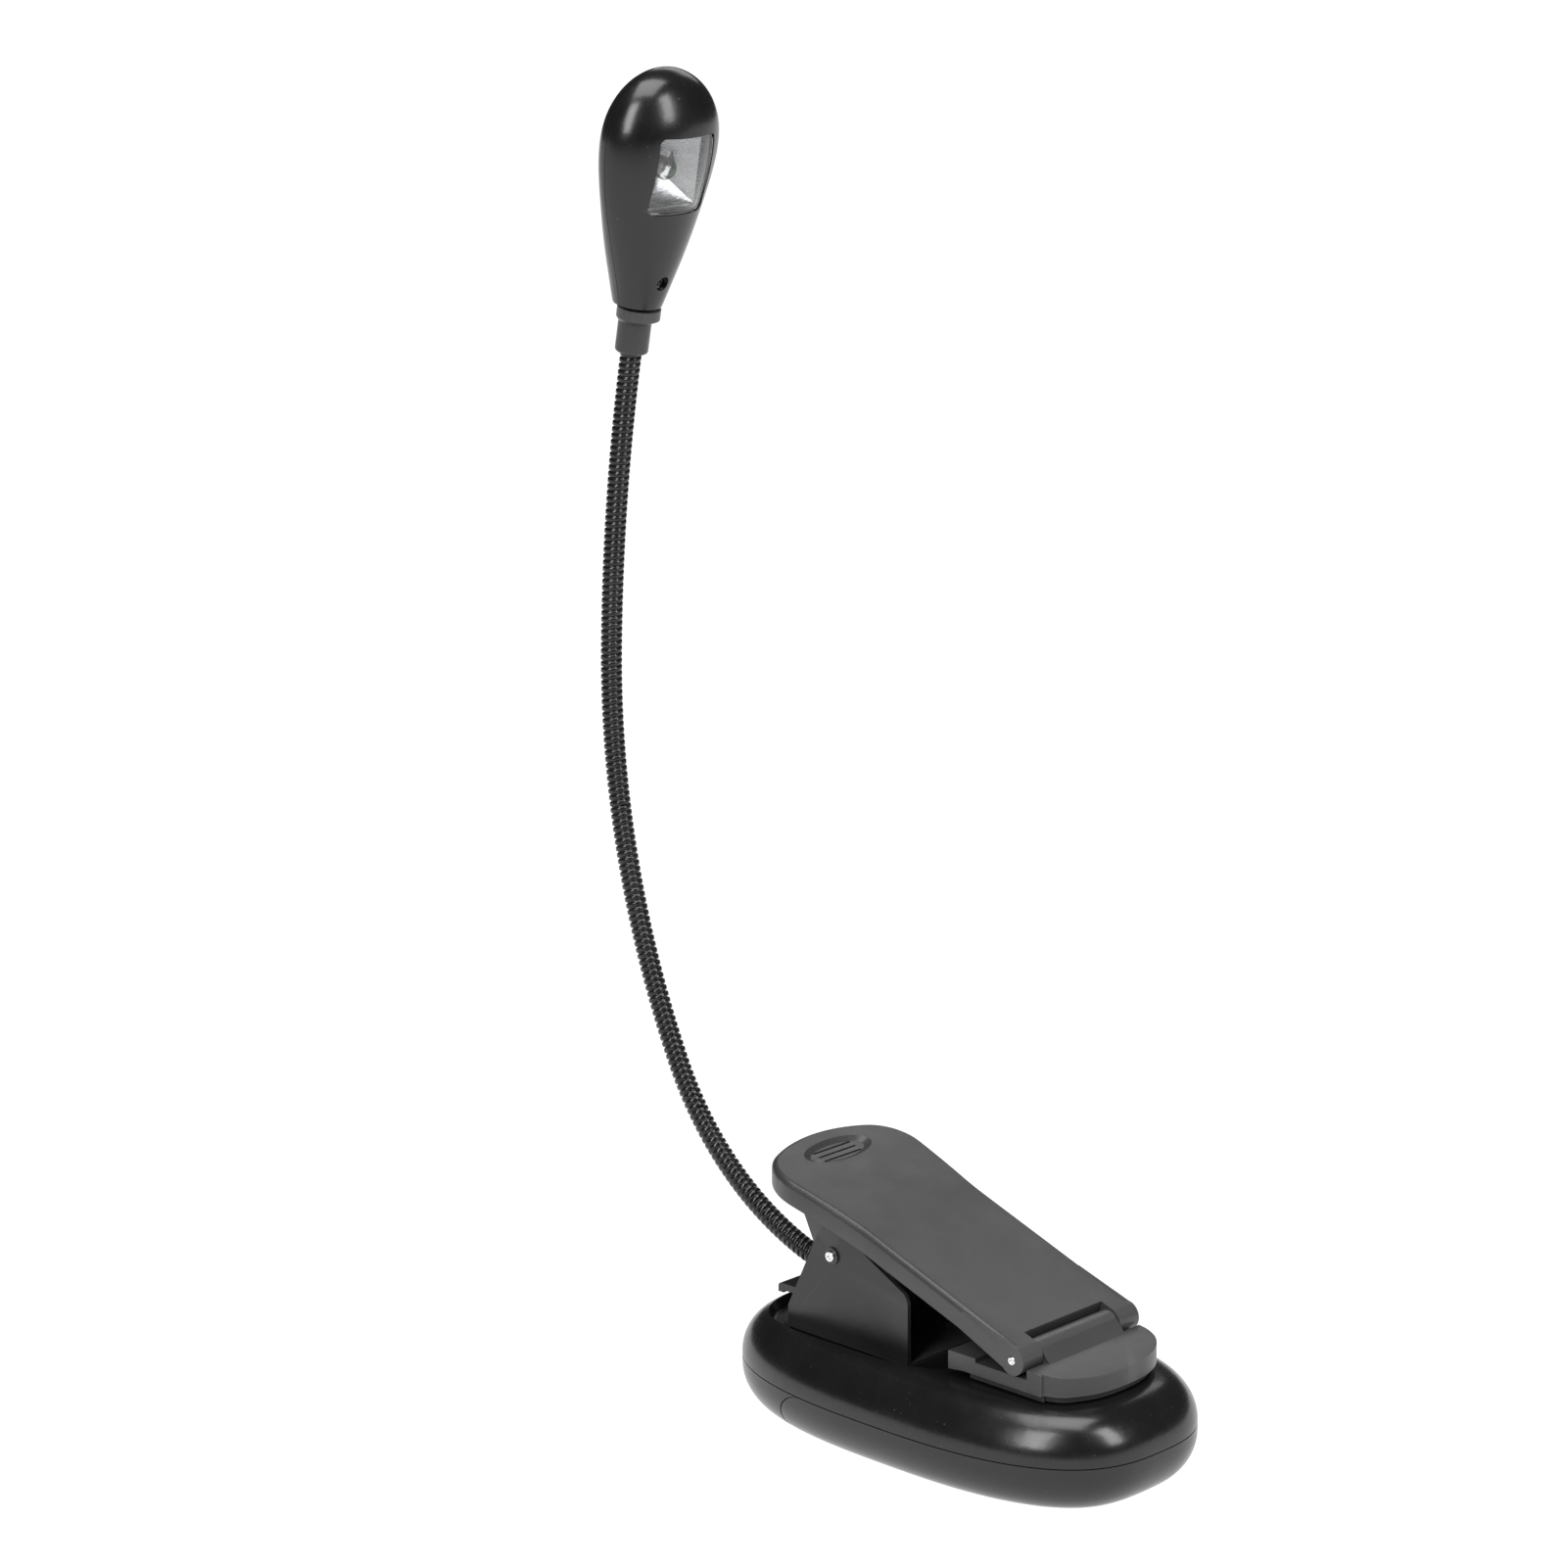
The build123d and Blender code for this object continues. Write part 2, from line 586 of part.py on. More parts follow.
with BuildPart() as clip_lever:
    add(lever_form(0, LEVER_SKIRT, 0))
    top_rim = clip_lever.faces().filter_by(lambda f: f.normal_at().Z > 0.9).edges()
    fillet(top_rim.filter_by(lambda e: e.center().Y > -25), 1.4)
    add(lever_form(LEVER_PLATE, LEVER_SKIRT + 4, LEVER_WALL, reach=43.0), mode=Mode.SUBTRACT)
    # fork arms: rounded noses round the front pin, deepening into the skirts
    with BuildSketch(Plane.YZ.offset(-LEVER_HALF_WIDTH)):
        with Locations((FRONT_PIN_Y, FRONT_PIN_Z)):
            Circle(NOSE_RADIUS)
        with BuildLine():
            Polyline(
                lever_point(-LEVER_REACH, 0.05),
                lever_point(-LEVER_REACH + 16, 0.6),
                lever_point(-LEVER_REACH + 16, LEVER_SKIRT),
                lever_point(-LEVER_REACH + 1.4, 2 * NOSE_RADIUS - 0.4),
                close=True,
            )
        make_face()
    extrude(amount=LEVER_WALL)
    with BuildSketch(Plane.YZ.offset(-LEVER_HALF_WIDTH)):
        with Locations((FRONT_PIN_Y, FRONT_PIN_Z)):
            Circle(NOSE_RADIUS)
    extrude(amount=LEVER_HALF_WIDTH - FORK_HALF_WIDTH)
    mirror(about=Plane.YZ)
    # slot for the jaw's lug, open at the front
    with BuildSketch(Plane.YZ.offset(-FORK_HALF_WIDTH)):
        with BuildLine():
            Polyline(
                lever_point(-SLOT_REACH, -2),
                lever_point(-SLOT_REACH, 12),
                lever_point(-LEVER_REACH - 8, 12),
                lever_point(-LEVER_REACH - 8, -2),
                close=True,
            )
        make_face()
    extrude(amount=2 * FORK_HALF_WIDTH, mode=Mode.SUBTRACT)
    # webs that carry the main pin
    for side in (-1, 1):
        with BuildSketch(Plane.YZ.offset(side * WEB_OUTER)):
            with Locations((PIN_Y, PIN_Z)):
                Circle(4.0)
            with BuildLine():
                Polyline((37.4, 51.2), (32.4, 41.0), (28.6, 38.0), (22.6, 38.0), (10.0, 47.8), (22.0, 52.0), close=True)
            make_face()
        extrude(amount=-side * WEB_THICK)
    with BuildSketch(Plane.YZ.offset(-30)):
        with Locations((PIN_Y, PIN_Z)):
            Circle(PIN_RADIUS + RUNNING)
        with Locations((FRONT_PIN_Y, FRONT_PIN_Z)):
            Circle(FRONT_PIN_RADIUS + 0.02)
    extrude(amount=60, mode=Mode.SUBTRACT)
    # thumb dimple: an oval basin with straight grip lines in its floor
    with BuildSketch(lever_face(DIMPLE_ALONG, -0.4)):
        Ellipse(11.2, 5.0)
    with BuildSketch(lever_face(DIMPLE_ALONG, DIMPLE_DEPTH)):
        Ellipse(8.2, 2.9)
    loft(mode=Mode.SUBTRACT)
    with BuildSketch(lever_face(DIMPLE_ALONG, DIMPLE_DEPTH - 0.3)):
        with Locations(*[(0, GRIP_PITCH * (i - 1) * 0.9) for i in range(GRIP_LINES)]):
            SlotOverall(12.0, 0.6)
    extrude(amount=-0.7, mode=Mode.SUBTRACT)
finish(clip_lever.part, "clip_lever")

# ================================================================ clip jaw

LUG_RADIUS = 2.9
LUG_HALF_WIDTH = FORK_HALF_WIDTH - 0.3
NOTCH_FRONT = -34.3
NOTCH_REAR = -19.5
NOTCH_FLOOR = 28.05
JAW_NOSE = 13.0
JAW_POWER = 2.25
SHOULDER_Y = -34.5
SHOULDER_Z = 30.3


def jaw_plan(inset, rear):
    """The jaw's outline seen from above, with an oval front end."""
    half = JAW_HALF_WIDTH - inset
    nose = JAW_NOSE - inset
    points = []
    steps = 12
    for i in range(steps + 1):
        turn = pi * i / steps
        c = cos(turn)
        x = half * abs(c) ** (2 / JAW_POWER) * (1 if c >= 0 else -1)
        points.append((x, JAW_FRONT + JAW_NOSE - nose * sin(turn) ** (2 / JAW_POWER)))
    with BuildSketch() as plan:
        with BuildLine():
            Spline(*points, tangents=((0, -1), (0, 1)))
            Polyline(points[-1], (-half, rear), (half, rear), points[0])
        make_face()
    return plan.sketch


with BuildPart() as clip_jaw:
    with BuildSketch(Plane.YZ.offset(-JAW_HALF_WIDTH)):
        with BuildLine():
            Polyline(
                (JAW_REAR, JAW_BOTTOM - 0.5),
                (JAW_REAR, 28.9),
                (FRONT_PIN_Y + 2, 29.1),
                (SHOULDER_Y, SHOULDER_Z),
                (JAW_FRONT, 29.2),
                (JAW_FRONT, JAW_BOTTOM),
                (-16, JAW_BOTTOM),
                close=True,
            )
        make_face()
    extrude(amount=2 * JAW_HALF_WIDTH)
    with BuildSketch(Plane.XY.offset(20)):
        add(jaw_plan(0, JAW_REAR))
    extrude(amount=15, mode=Mode.INTERSECT)
    with BuildSketch(Plane.YZ.offset(-LUG_HALF_WIDTH)):
        with Locations((FRONT_PIN_Y, FRONT_PIN_Z)):
            Circle(LUG_RADIUS)
        with BuildLine():
            Polyline(
                (FRONT_PIN_Y - 2.4, FRONT_PIN_Z + 1.6),
                (SHOULDER_Y - 1.2, SHOULDER_Z - 0.3),
                (SHOULDER_Y, 28.0),
                (FRONT_PIN_Y + 2.6, 28.0),
                (FRONT_PIN_Y + 2.6, FRONT_PIN_Z),
                close=True,
            )
        make_face()
    extrude(amount=2 * LUG_HALF_WIDTH)
    with BuildSketch(Plane.XY.offset(NOTCH_FLOOR)):
        with Locations(*[(side * (LUG_HALF_WIDTH + 5), (NOTCH_FRONT + NOTCH_REAR) / 2) for side in (-1, 1)]):
            Rectangle(10, NOTCH_REAR - NOTCH_FRONT)
    extrude(amount=5, mode=Mode.SUBTRACT)
    with BuildSketch(Plane.YZ.offset(-30)):
        with Locations((FRONT_PIN_Y, FRONT_PIN_Z)):
            Circle(FRONT_PIN_RADIUS + RUNNING)
    extrude(amount=60, mode=Mode.SUBTRACT)
finish(clip_jaw.part, "clip_jaw")

with BuildPart() as jaw_sole:
    with BuildSketch(Plane.XY.offset(JAW_BOTTOM - SOLE)):
        add(jaw_plan(1.2, -17.0))
    extrude(amount=SOLE - 0.02)
finish(jaw_sole.part, "jaw_sole")

# ================================================================ neck


def neck_plane(y, z, angle):
    """A plane across the neck at (0, y, z), facing angle degrees above +Y."""
    return Plane(origin=(0, y, z), x_dir=(1, 0, 0), z_dir=(0, cos(radians(angle)), sin(radians(angle))))


def neck_side(y, z, angle):
    """The plane x = 0 at (0, y, z), with local x along the neck."""
    return Plane(origin=(0, y, z), x_dir=(0, cos(radians(angle)), sin(radians(angle))), z_dir=(1, 0, 0))


def neck_stations():
    """Start point, direction, bend centre and turn of each segment, and the neck's end."""
    y, z = NECK_START
    angle = NECK_START_ANGLE
    stations = []
    for radius, turn, pieces in NECK_ARCS:
        centre_y = y - radius * sin(radians(angle))
        centre_z = z + radius * cos(radians(angle))
        for piece in range(pieces):
            stations.append((y, z, angle, centre_y, centre_z, turn / pieces))
            angle += turn / pieces
            y = centre_y + radius * sin(radians(angle))
            z = centre_z - radius * cos(radians(angle))
    return stations, (y, z, angle)


def ball_end(y, z, angle):
    """Half a ball with the wire bore through it, on the end of a neck tube."""
    reach = sqrt(NECK_RADIUS**2 - NECK_BORE**2)
    half = radians(45) + asin(NECK_BORE / NECK_RADIUS) / 2
    with BuildPart() as form:
        with BuildSketch(neck_side(y, z, angle)):
            with BuildLine():
                Polyline((0, NECK_RADIUS), (0, NECK_BORE), (reach, NECK_BORE))
                ThreePointArc(
                    (reach, NECK_BORE),
                    (NECK_RADIUS * cos(half), NECK_RADIUS * sin(half)),
                    (0, NECK_RADIUS),
                )
            make_face()
        direction = (0, cos(radians(angle)), sin(radians(angle)))
        revolve(axis=Axis((0, y, z), direction))
    return form.part


STATIONS, (TIP_Y, TIP_Z, TIP_ANGLE) = neck_stations()
STUB = 7.0
ROOT_LENGTH = 8.0

for number, (y, z, angle, centre_y, centre_z, turn) in enumerate(STATIONS, start=1):
    last = number == len(STATIONS)
    end_y, end_z, end_angle = (TIP_Y, TIP_Z, TIP_ANGLE) if last else STATIONS[number][:3]
    with BuildPart() as segment:
        with BuildSketch(neck_plane(y, z, angle)):
            Circle(NECK_RADIUS)
            Circle(NECK_BORE, mode=Mode.SUBTRACT)
        revolve(axis=Axis((0, centre_y, centre_z), (1, 0, 0)), revolution_arc=turn)
        if last:
            with BuildSketch(neck_plane(end_y, end_z, end_angle)):
                Circle(NECK_RADIUS)
                Circle(NECK_BORE, mode=Mode.SUBTRACT)
            extrude(amount=STUB)
        else:
            add(ball_end(end_y, end_z, end_angle))
        with Locations((0, y, z)):
            Sphere(NECK_RADIUS + BALL_CLEARANCE, mode=Mode.SUBTRACT)
    finish(segment.part, "neck_segment_" + str(number).zfill(2))

with BuildPart() as neck_root:
    with BuildSketch(neck_plane(*NECK_START, NECK_START_ANGLE)):
        Circle(NECK_RADIUS)
        Circle(NECK_BORE, mode=Mode.SUBTRACT)
    extrude(amount=-ROOT_LENGTH)
    add(ball_end(*NECK_START, NECK_START_ANGLE))
finish(neck_root.part, "neck_root")

SOCKET_HALF_WIDTH = 5.4
SOCKET_FRONT = 19.5
SOCKET_REAR = 33.0
SOCKET_TOP = 33.0
SOCKET_ROUND = 2.5

with BuildPart() as neck_socket:
    with BuildSketch(Plane.XY.offset(FOOT_TOP + 0.08)):
        with Locations((0, (SOCKET_FRONT + SOCKET_REAR) / 2)):
            Rectangle(2 * SOCKET_HALF_WIDTH, SOCKET_REAR - SOCKET_FRONT)
    extrude(amount=SOCKET_TOP - FOOT_TOP)
    fillet(neck_socket.edges().filter_by(Axis.Y).group_by(Axis.Z)[-1], SOCKET_ROUND)
    with BuildSketch(neck_plane(*NECK_START, NECK_START_ANGLE)):
        Circle(NECK_RADIUS + 0.03)
    extrude(amount=-ROOT_LENGTH - 0.2, mode=Mode.SUBTRACT)
    with BuildSketch(neck_plane(*NECK_START, NECK_START_ANGLE)):
        Circle(NECK_BORE + 0.2)
    extrude(amount=WIRE_HOLE_Y - NECK_START[0] - 0.6, mode=Mode.SUBTRACT)
    with BuildSketch(Plane.XY.offset(FOOT_TOP)):
        with Locations((0, WIRE_HOLE_Y)):
            Circle(WIRE_HOLE_RADIUS)
    extrude(amount=8.4, mode=Mode.SUBTRACT)
finish(neck_socket.part, "neck_socket")

WIRE_RADIUS = 0.45
WIRE_SPACING = 0.55
NECK_RISE = tan(radians(NECK_START_ANGLE))

with BuildPart() as lead_wires:
    for x in (-WIRE_SPACING, WIRE_SPACING):
        with BuildLine() as route:
            FilletPolyline(
                (x, 33.2, BOARD_Z + BOARD_THICK + 0.02),
                (x, 33.2, 13.2),
                (x, WIRE_HOLE_Y, 16.2),
                (x, WIRE_HOLE_Y, NECK_START[1] - (NECK_START[0] - WIRE_HOLE_Y) * NECK_RISE),
                (x, NECK_START[0] - 2, NECK_START[1] - 2 * NECK_RISE),
                radius=1.0,
            )
        with BuildSketch(Plane(origin=route.line @ 0, z_dir=route.line % 0)):
            Circle(WIRE_RADIUS)
        sweep(path=route.line)
finish(lead_wires.part, "lead_wires")

# ================================================================ head

LEAN = TIP_ANGLE - 90
AXIS = Vector(0, -sin(radians(LEAN)), cos(radians(LEAN)))
FORWARD = Vector(0, -cos(radians(LEAN)), -sin(radians(LEAN)))
HEAD_BASE = Vector(0, TIP_Y, TIP_Z) + AXIS * HEAD_OFFSET


def head_across(s):
    """A plane across the head, s above its lower end; local y points to the rear."""
    return Plane(origin=HEAD_BASE + AXIS * s, x_dir=(1, 0, 0), z_dir=AXIS)


def head_face(s, forward):
    """A plane facing the head's front; local y runs up the head."""
    return Plane(origin=HEAD_BASE + AXIS * s + FORWARD * forward, x_dir=(1, 0, 0), z_dir=FORWARD)


def head_axis():
    """The axis that the head and its sleeve share."""
    return Axis(HEAD_BASE, AXIS)


def half_width(s):
    """The head's half-width below its widest place."""
    rise = sin(pi / 2 * (s / HEAD_WIDEST) ** 1.22)
    return HEAD_NECK_RADIUS + (HEAD_HALF_WIDTH - HEAD_NECK_RADIUS) * rise


def head_half(front, inset, start):
    """Half of the teardrop, in front of the seam plane or behind it, drawn in by inset."""
    ratio = HEAD_FRONT_RATIO if front else HEAD_REAR_RATIO
    sections = []
    for k in range(7):
        s = start + (HEAD_WIDEST - start) * k / 6
        blend = min(1.0, s / HEAD_BLEND)
        blend = blend * blend * (3 - 2 * blend)
        width = half_width(s)
        sections.append((s, width - inset, width * (1 + (ratio - 1) * blend) - inset))
    for degrees_up in (25, 45, 60, 72, 82, 88):
        turn = radians(degrees_up)
        s = HEAD_WIDEST + (HEAD_LENGTH - inset - HEAD_WIDEST) * sin(turn)
        sections.append((s, (HEAD_HALF_WIDTH - inset) * cos(turn), (HEAD_HALF_WIDTH * ratio - inset) * cos(turn)))
    turn_from = 180 if front else 0
    with BuildPart() as form:
        for s, across_x, deep in sections:
            with BuildSketch(head_across(s)):
                with BuildLine():
                    EllipticalCenterArc((0, 0), across_x, deep, turn_from, arc_size=180)
                    Line((-across_x, 0), (across_x, 0))
                make_face()
        loft()
    return form.part


SPIGOT_RADIUS = 3.0
FLANGE_RADIUS = 3.45
BOSS_S = 9.0
BOSS_RADIUS = 2.3
HEAD_FLOOR = 1.5
SEAM_HALF_GAP = 0.06


def head_shell(front):
    """One shell of the head, with its part of the floor and of the screw boss."""
    side = 1 if front else -1
    with BuildPart() as form:
        add(head_half(front, 0, HEAD_START))
        add(head_half(front, HEAD_WALL, HEAD_START + HEAD_FLOOR), mode=Mode.SUBTRACT)
        with BuildSketch(head_face(BOSS_S, side * SEAM_HALF_GAP)):
            Circle(BOSS_RADIUS)
        extrude(amount=side * 6.2)
        with BuildSketch(head_face(0, 0)):
            Rectangle(60, 140)
        extrude(amount=side * SEAM_HALF_GAP, mode=Mode.SUBTRACT)
        with BuildSketch(head_across(HEAD_START - 1)):
            Circle(SPIGOT_RADIUS + RUNNING)
        extrude(amount=HEAD_FLOOR + 1.6, mode=Mode.SUBTRACT)
    return form.part


# window opening, a rounded square with a curved pane sunk a little below the shell
PANE_MARGIN = 0.15
PANE_SUNK = 0.3
PANE_THICK = 1.0
WINDOW_MIDDLE = (WINDOW_LOW + WINDOW_HIGH) / 2
WINDOW_HEIGHT = WINDOW_HIGH - WINDOW_LOW
WINDOW_ROUND = 1.6
CUP_WALL = 0.8
CUP_MARGIN = 0.35
CUP_DEPTH = 5.7
CUP_FRONT = 6.1
CUP_FLOOR = CUP_FRONT - CUP_DEPTH
SCREW_HEAD_FORWARD = 5.6

with BuildPart() as head_front_shell:
    add(head_shell(True))
    with BuildSketch(head_face(WINDOW_MIDDLE, 0.5)):
        RectangleRounded(2 * WINDOW_HALF_WIDTH, WINDOW_HEIGHT, WINDOW_ROUND)
    extrude(amount=20, mode=Mode.SUBTRACT)
    with BuildSketch(head_face(BOSS_S, SCREW_HEAD_FORWARD - 1.2)):
        Circle(1.7)
    extrude(amount=8, mode=Mode.SUBTRACT)
    with BuildSketch(head_face(BOSS_S, 0)):
        Circle(0.95)
    extrude(amount=8, mode=Mode.SUBTRACT)
finish(head_front_shell.part, "head_front_shell")

with BuildPart() as head_rear_shell:
    add(head_shell(False))
    with BuildSketch(head_face(BOSS_S, 1)):
        Circle(0.77)
    extrude(amount=-5.0, mode=Mode.SUBTRACT)
    with BuildSketch(head_face(WINDOW_MIDDLE, CUP_FLOOR - 2.2)):
        with Locations((-3.6, 0), (3.6, 0)):
            Circle(1.2)
    extrude(amount=-5.6)
finish(head_rear_shell.part, "head_rear_shell")

with BuildPart() as window_pane:
    add(head_half(True, PANE_SUNK, HEAD_START))
    add(head_half(True, PANE_SUNK + PANE_THICK, HEAD_START + PANE_THICK), mode=Mode.SUBTRACT)
    with BuildSketch(head_face(WINDOW_MIDDLE, 2.0)):
        RectangleRounded(
            2 * (WINDOW_HALF_WIDTH - PANE_MARGIN),
            WINDOW_HEIGHT - 2 * PANE_MARGIN,
            WINDOW_ROUND - PANE_MARGIN,
        )
    extrude(amount=20, mode=Mode.INTERSECT)
finish(window_pane.part, "window_pane")

LED_FLANGE = 2.9

with BuildPart() as reflector:
    with BuildSketch(head_face(WINDOW_MIDDLE, CUP_FRONT)):
        Rectangle(2 * (WINDOW_HALF_WIDTH - CUP_MARGIN), WINDOW_HEIGHT - 2 * CUP_MARGIN)
    with BuildSketch(head_face(WINDOW_MIDDLE, CUP_FLOOR)):
        Rectangle(2 * (LED_FLANGE + CUP_WALL + 0.4), 2 * (LED_FLANGE + CUP_WALL + 0.4))
    loft(ruled=True)
    with BuildSketch(head_face(WINDOW_MIDDLE, CUP_FRONT + 0.01)):
        Rectangle(2 * (WINDOW_HALF_WIDTH - CUP_MARGIN - CUP_WALL), WINDOW_HEIGHT - 2 * (CUP_MARGIN + CUP_WALL))
    with BuildSketch(head_face(WINDOW_MIDDLE, CUP_FLOOR + CUP_WALL)):
        Rectangle(2 * LED_FLANGE, 2 * LED_FLANGE)
    loft(ruled=True, mode=Mode.SUBTRACT)
    with BuildSketch(head_face(WINDOW_MIDDLE, CUP_FLOOR - 1)):
        Circle(LED_RADIUS + 0.04)
    extrude(amount=4, mode=Mode.SUBTRACT)
finish(reflector.part, "reflector")

LED_BASE = CUP_FLOOR - 0.1
LED_HEIGHT = 5.6

with BuildPart() as led:
    with BuildSketch(Plane(origin=head_face(WINDOW_MIDDLE, LED_BASE).origin, x_dir=FORWARD, z_dir=(1, 0, 0))):
        with BuildLine():
            Polyline(
                (LED_HEIGHT - LED_RADIUS, LED_RADIUS),
                (0, LED_RADIUS),
                (0, LED_FLANGE),
                (-1.0, LED_FLANGE),
                (-1.0, 0),
                (LED_HEIGHT, 0),
            )
            CenterArc((LED_HEIGHT - LED_RADIUS, 0), LED_RADIUS, 0, 90)
        make_face()
    revolve(axis=Axis(head_face(WINDOW_MIDDLE, 0).origin, FORWARD))
finish(led.part, "led")

HEAD_BOARD_HALF = 5.0

with BuildPart() as head_board:
    with BuildSketch(head_face(WINDOW_MIDDLE, LED_BASE - 1.05)):
        RectangleRounded(2 * HEAD_BOARD_HALF, 2 * HEAD_BOARD_HALF, 0.8)
    extrude(amount=-1.0)
finish(head_board.part, "head_board")

with BuildPart() as head_screw:
    with BuildSketch(head_face(BOSS_S, SCREW_HEAD_FORWARD)):
        Circle(1.5)
    extrude(amount=-1.1)
    with BuildSketch(head_face(BOSS_S, SCREW_HEAD_FORWARD)):
        Rectangle(2.0, 0.4)
        Rectangle(0.4, 2.0)
    extrude(amount=-0.5, mode=Mode.SUBTRACT)
    with BuildSketch(head_face(BOSS_S, SCREW_HEAD_FORWARD - 1.1)):
        Circle(0.75)
    extrude(amount=-8.0)
finish(head_screw.part, "head_screw")

# sleeve on the neck's end, with the collar and spigot that the head turns on
SLEEVE_LENGTH = 9.0
COLLAR_RADIUS = 5.0
COLLAR_LENGTH = 2.4
COLLAR_BEVEL = 1.1
COLLAR_OFFSET = 0.8
COLLAR_TOP = HEAD_START - 0.75
FLANGE_LOW = HEAD_START + HEAD_FLOOR + 0.1

with BuildPart() as neck_sleeve:
    with BuildSketch(head_across(-SLEEVE_LENGTH)):
        Circle(SLEEVE_RADIUS)
    extrude(amount=SLEEVE_LENGTH + COLLAR_TOP - COLLAR_LENGTH)
    fillet(neck_sleeve.edges().sort_by(head_axis())[0], 0.6)
    with BuildSketch(head_across(COLLAR_TOP - COLLAR_LENGTH - COLLAR_BEVEL)):
        Circle(SLEEVE_RADIUS + 0.05)
    with BuildSketch(head_across(COLLAR_TOP - COLLAR_LENGTH)):
        with Locations((0, -COLLAR_OFFSET)):
            Circle(COLLAR_RADIUS)
    loft()
    with BuildSketch(head_across(COLLAR_TOP - COLLAR_LENGTH)):
        with Locations((0, -COLLAR_OFFSET)):
            Circle(COLLAR_RADIUS)
    extrude(amount=COLLAR_LENGTH)
    with BuildSketch(head_across(COLLAR_TOP - 0.1)):
        Circle(SPIGOT_RADIUS)
    extrude(amount=FLANGE_LOW - COLLAR_TOP + 0.1)
    with BuildSketch(head_across(FLANGE_LOW)):
        Circle(FLANGE_RADIUS)
    extrude(amount=0.9)
    with BuildSketch(head_across(-HEAD_OFFSET)):
        Circle(NECK_RADIUS + 0.02)
    extrude(amount=STUB + 0.1, mode=Mode.SUBTRACT)
    with BuildSketch(head_across(-HEAD_OFFSET)):
        Circle(NECK_BORE)
    extrude(amount=HEAD_OFFSET + 5, mode=Mode.SUBTRACT)
finish(neck_sleeve.part, "neck_sleeve")
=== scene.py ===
"""Looks of the clip-on reading lamp: materials, the ribbed neck, studio floor, light and camera."""
import json
import math

import bpy
from mathutils import Matrix, Vector


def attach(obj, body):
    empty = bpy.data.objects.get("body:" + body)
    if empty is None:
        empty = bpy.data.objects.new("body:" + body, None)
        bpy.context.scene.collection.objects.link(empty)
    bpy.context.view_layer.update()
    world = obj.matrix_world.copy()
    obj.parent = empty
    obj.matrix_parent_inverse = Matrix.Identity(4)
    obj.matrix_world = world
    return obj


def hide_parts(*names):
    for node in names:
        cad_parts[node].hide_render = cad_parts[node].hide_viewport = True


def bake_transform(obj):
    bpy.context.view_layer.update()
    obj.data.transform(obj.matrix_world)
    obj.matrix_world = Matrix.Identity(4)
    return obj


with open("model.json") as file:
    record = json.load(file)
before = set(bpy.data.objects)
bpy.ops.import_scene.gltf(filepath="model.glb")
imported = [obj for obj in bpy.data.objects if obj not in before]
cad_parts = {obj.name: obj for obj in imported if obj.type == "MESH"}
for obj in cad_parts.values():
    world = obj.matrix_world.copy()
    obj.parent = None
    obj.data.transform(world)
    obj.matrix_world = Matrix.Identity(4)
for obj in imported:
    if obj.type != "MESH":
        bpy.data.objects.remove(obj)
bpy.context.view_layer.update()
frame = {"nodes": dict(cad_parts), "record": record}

MM = 0.001
SMOOTH_ANGLE = 30.0

# ---------------------------------------------------------------- node helpers


def material(name):
    """A new material with its node tree, its Principled shader and object coordinates."""
    mat = bpy.data.materials.new(name)
    mat.use_nodes = True
    tree = mat.node_tree
    shader = tree.nodes["Principled BSDF"]
    coords = tree.nodes.new("ShaderNodeTexCoord").outputs["Object"]
    return mat, tree, shader, coords


def noise(tree, coords, scale, detail=3.0, roughness=0.5, distortion=0.0):
    """A noise texture's factor."""
    node = tree.nodes.new("ShaderNodeTexNoise")
    node.inputs["Scale"].default_value = scale
    node.inputs["Detail"].default_value = detail
    node.inputs["Roughness"].default_value = roughness
    node.inputs["Distortion"].default_value = distortion
    tree.links.new(coords, node.inputs["Vector"])
    return node.outputs["Fac"]


def stretched(tree, coords, scale):
    """Coordinates stretched by a scale on each axis."""
    node = tree.nodes.new("ShaderNodeMapping")
    node.inputs["Scale"].default_value = scale
    tree.links.new(coords, node.inputs["Vector"])
    return node.outputs["Vector"]


def span(tree, value, low, high, to_low, to_high):
    """A value mapped from one range to another, and clamped."""
    node = tree.nodes.new("ShaderNodeMapRange")
    node.inputs["From Min"].default_value = low
    node.inputs["From Max"].default_value = high
    node.inputs["To Min"].default_value = to_low
    node.inputs["To Max"].default_value = to_high
    tree.links.new(value, node.inputs["Value"])
    return node.outputs["Result"]


def math_node(tree, operation, a, b):
    """Two values combined; b may be a number."""
    node = tree.nodes.new("ShaderNodeMath")
    node.operation = operation
    tree.links.new(a, node.inputs[0])
    if isinstance(b, (int, float)):
        node.inputs[1].default_value = b
    else:
        tree.links.new(b, node.inputs[1])
    return node.outputs["Value"]


def blend_colors(tree, factor, first, second):
    """Two colours mixed by a factor; each is a colour or a socket."""
    node = tree.nodes.new("ShaderNodeMix")
    node.data_type = "RGBA"
    tree.links.new(factor, node.inputs[0])
    for socket, value in ((node.inputs[6], first), (node.inputs[7], second)):
        if isinstance(value, tuple):
            socket.default_value = (*value, 1.0)
        else:
            tree.links.new(value, socket)
    return node.outputs[2]


def bump(tree, shader, height, strength, distance):
    """Bump from a height, on top of any bump the shader already has."""
    node = tree.nodes.new("ShaderNodeBump")
    node.inputs["Strength"].default_value = strength
    node.inputs["Distance"].default_value = distance
    tree.links.new(height, node.inputs["Height"])
    old = shader.inputs["Normal"].links
    if old:
        tree.links.new(old[0].from_socket, node.inputs["Normal"])
    tree.links.new(node.outputs["Normal"], shader.inputs["Normal"])


